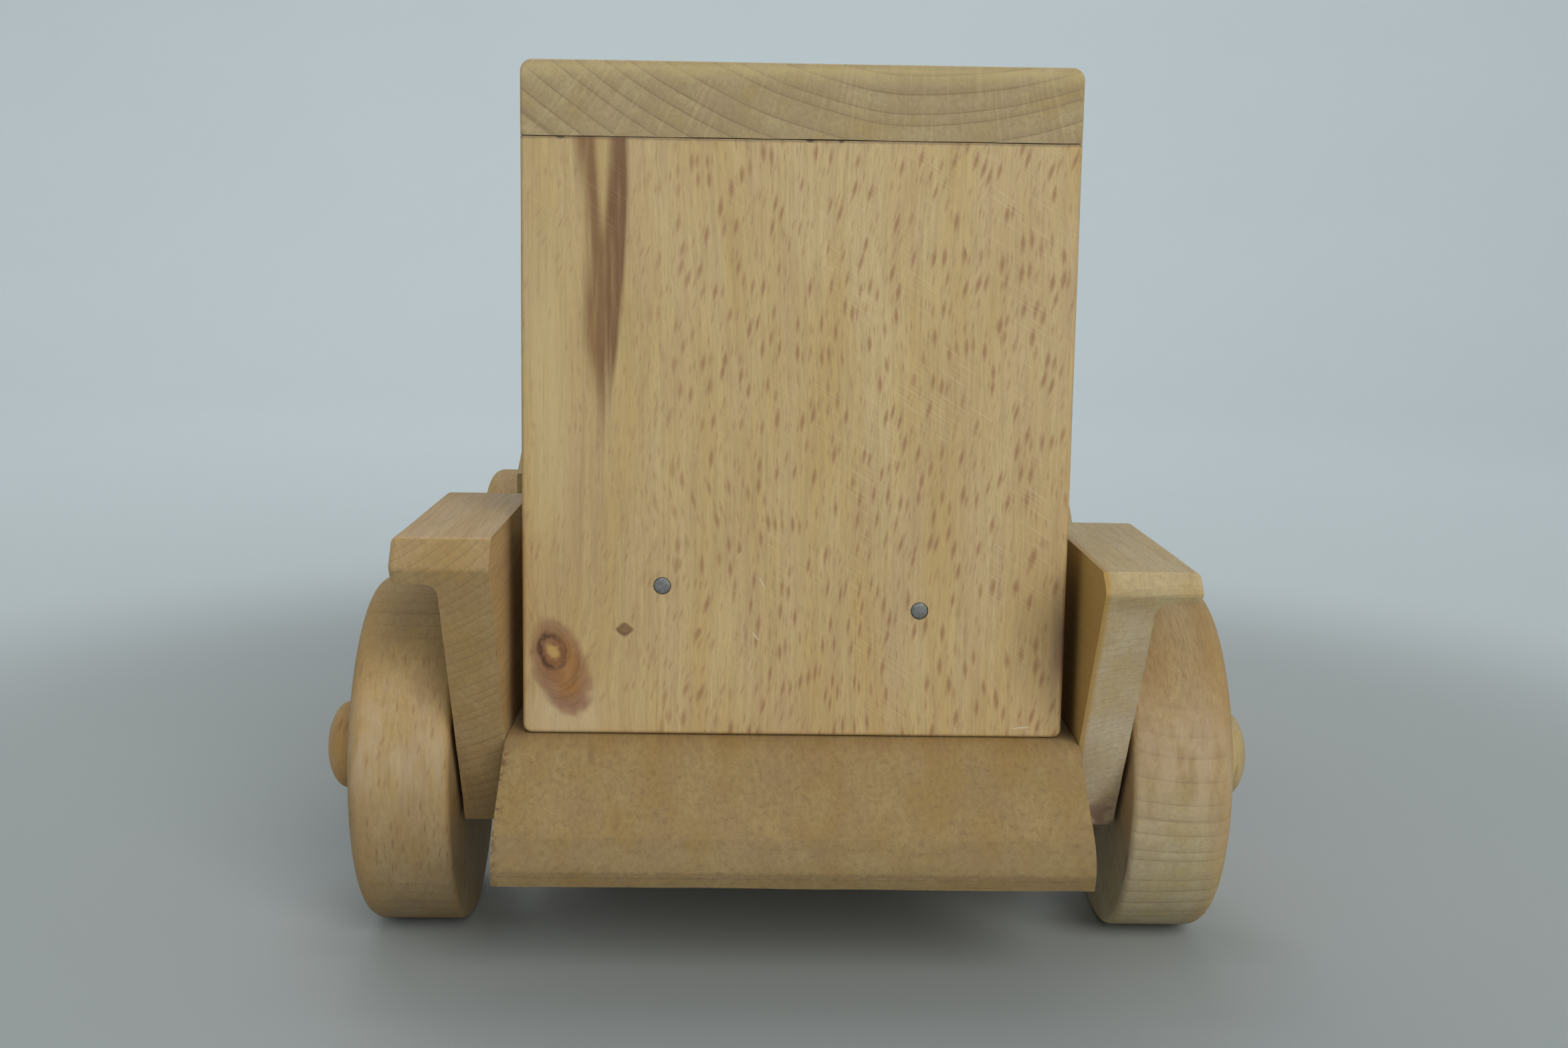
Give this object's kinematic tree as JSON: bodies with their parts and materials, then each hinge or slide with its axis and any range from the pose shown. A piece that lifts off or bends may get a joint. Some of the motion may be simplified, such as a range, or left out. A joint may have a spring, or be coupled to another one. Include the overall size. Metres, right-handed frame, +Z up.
{
  "type": "toy car",
  "caption": "Wooden toy motor car with a tall open-sided cab, flat roof, block hood, fender blocks and free-turning wide wheels with domed caps.",
  "frame": {"origin": "on the ground, at the middle of the car's length and width", "axes": "+Y forward along the car, +Z up, +X to the car's right"},
  "size_m": [0.1694, 0.263, 0.1498],
  "materials": {
    "rear_board_beech": "bare sanded beech, face grain with ray flecks and a knot",
    "roof_beech": "bare sanded beech, end grain at both ends",
    "body_beech": "bare sanded beech",
    "fender_beech": "bare sawn and sanded beech",
    "wheel_beech": "turned beech, rounded rims",
    "turned_beech": "turned beech, smooth",
    "nail_steel": "dull grey steel"
  },
  "bodies": {
    "car": {"chassis_board": "body_beech", "rear_board": "rear_board_beech", "windscreen_board": "body_beech", "roof_board": "roof_beech", "seat_block": "body_beech", "hood_block": "body_beech", "radiator_board": "body_beech", "headlamp_left": "turned_beech", "headlamp_right": "turned_beech", "rear_axle": "turned_beech", "front_axle": "turned_beech", "rear_fender_left": "fender_beech", "rear_fender_right": "fender_beech", "front_fender_left": "fender_beech", "front_fender_right": "fender_beech", "hub_cap_rear_left": "turned_beech", "hub_cap_rear_right": "turned_beech", "hub_cap_front_left": "turned_beech", "hub_cap_front_right": "turned_beech", "rear_board_nails": "nail_steel", "radiator_nails": "nail_steel"},
    "wheel_rear_left": {"wheel_rear_left": "wheel_beech"},
    "wheel_rear_right": {"wheel_rear_right": "wheel_beech"},
    "wheel_front_left": {"wheel_front_left": "wheel_beech"},
    "wheel_front_right": {"wheel_front_right": "wheel_beech"}
  },
  "joints": [
    {"name": "wheel_rear_left_spin", "type": "hinge", "parent": "car", "child": "wheel_rear_left", "pos_m": [-0.065, -0.082, 0.0307], "axis": [1, 0, 0], "continuous": true},
    {"name": "wheel_rear_right_spin", "type": "hinge", "parent": "car", "child": "wheel_rear_right", "pos_m": [0.065, -0.082, 0.0307], "axis": [1, 0, 0], "continuous": true},
    {"name": "wheel_front_left_spin", "type": "hinge", "parent": "car", "child": "wheel_front_left", "pos_m": [-0.065, 0.082, 0.0307], "axis": [1, 0, 0], "continuous": true},
    {"name": "wheel_front_right_spin", "type": "hinge", "parent": "car", "child": "wheel_front_right", "pos_m": [0.065, 0.082, 0.0307], "axis": [1, 0, 0], "continuous": true}
  ]
}
